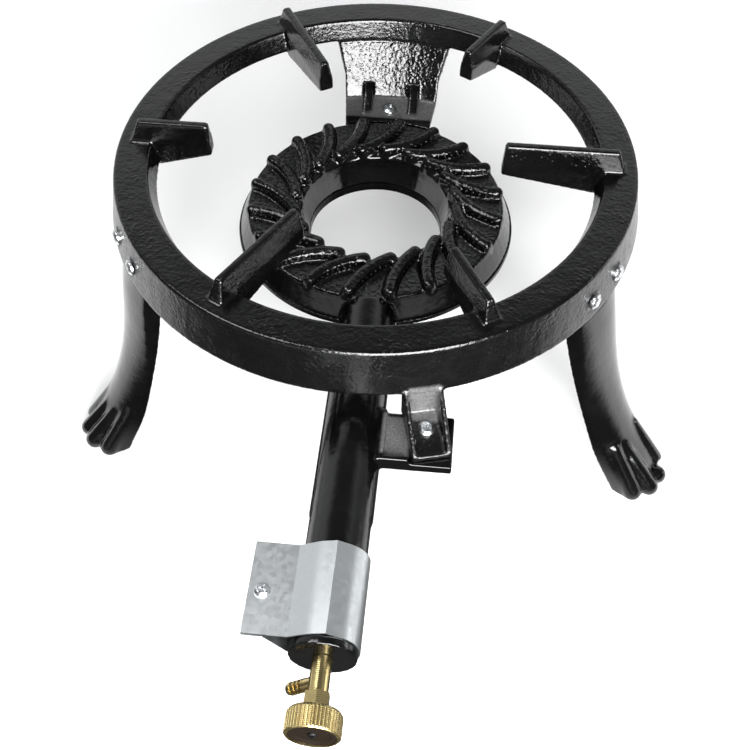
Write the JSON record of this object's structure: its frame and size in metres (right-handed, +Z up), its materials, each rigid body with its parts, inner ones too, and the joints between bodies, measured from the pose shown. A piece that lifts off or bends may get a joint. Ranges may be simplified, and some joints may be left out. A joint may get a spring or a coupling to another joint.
{
  "type": "cast iron gas burner",
  "caption": "Tabletop cast iron gas burner: pan ring with pot supports on clawed legs, finned ring head, long mixing tube with sliding air shutter and brass needle valve.",
  "frame": {"origin": "on the ground at the centre of the bounding box's base, between the knob's face and the back leg's toes", "axes": "+Z up, +Y from the valve knob along the mixing tube to the pan ring and the back leg, +X to the right of someone who faces the knob"},
  "size_m": [0.4946, 0.709, 0.2318],
  "materials": {
    "enamelled_iron": "glossy black enamel over rough sand casting",
    "zinc_steel": "bright zinc plated steel",
    "galvanised_sheet": "galvanised sheet, satin",
    "brass": "machined yellow brass",
    "packing": "soft white packing",
    "dark_plastic": "dark brown moulded disc",
    "dark_steel": "blackened steel"
  },
  "bodies": {
    "stove": {"pan_ring": "enamelled_iron", "burner_body": "enamelled_iron", "burner_bottom_plate": "enamelled_iron", "bottom_plate_screws": "zinc_steel", "leg_back": "enamelled_iron", "leg_left": "enamelled_iron", "leg_right": "enamelled_iron", "leg_screws": "zinc_steel", "leg_nuts": "zinc_steel", "ear_screw": "zinc_steel", "ear_nut": "zinc_steel", "back_screw": "zinc_steel", "back_nut": "zinc_steel", "valve_body": "brass", "injector_jet": "brass", "gland_nut": "brass", "gland_packing": "packing", "hose_barb": "brass"},
    "shutter": {"air_shutter": "galvanised_sheet", "shutter_screw": "zinc_steel", "shutter_nut": "zinc_steel"},
    "spindle": {"needle_spindle": "brass"},
    "knob": {"knob": "brass", "knob_insert": "dark_plastic", "knob_screw": "dark_steel"}
  },
  "joints": [
    {"name": "shutter_slide", "type": "slide", "parent": "stove", "child": "shutter", "axis": [0, 1, 0], "range_m": [-0.005, 0.04]},
    {"name": "spindle_slide", "type": "slide", "parent": "stove", "child": "spindle", "axis": [0, -1, 0], "range_m": [0, 0.0016]},
    {"name": "knob_turn", "type": "hinge", "parent": "spindle", "child": "knob", "pos_m": [-0.00384, -0.33, 0.143], "axis": [0, -1, 0], "range_deg": [0, 720]}
  ],
  "couplings": [
    {"joint": "spindle_slide", "follows": "knob_turn", "m_per_rad": 0.00011937}
  ]
}
